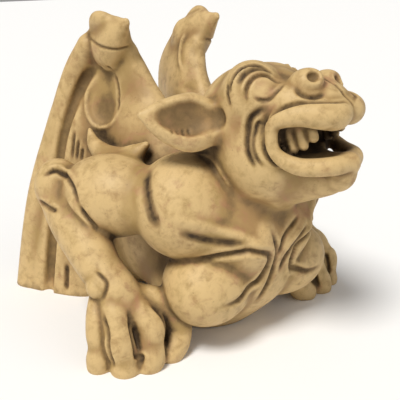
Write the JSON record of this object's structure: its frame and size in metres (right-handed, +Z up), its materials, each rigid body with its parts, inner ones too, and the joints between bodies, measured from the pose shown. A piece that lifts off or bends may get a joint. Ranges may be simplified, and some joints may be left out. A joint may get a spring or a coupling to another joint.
{
  "type": "roof ornament",
  "caption": "Cast-stone gargoyle figure: a crouching winged beast with an open, toothed mouth, leaf-shaped ears and claw-capped wings, standing on its belly, paws and wing feet.",
  "frame": {"origin": "centre of the underside of the bounding box, on the surface that the figure stands on", "axes": "+Z up, the beast faces -Y, its own right side is -X"},
  "size_m": [0.267, 0.2832, 0.2436],
  "materials": {
    "cast_stone": "warm tan cast stone with a brown wash left in the recesses and creamy worn ridges"
  },
  "bodies": {
    "root": {"gargoyle": "cast_stone"}
  },
  "joints": []
}
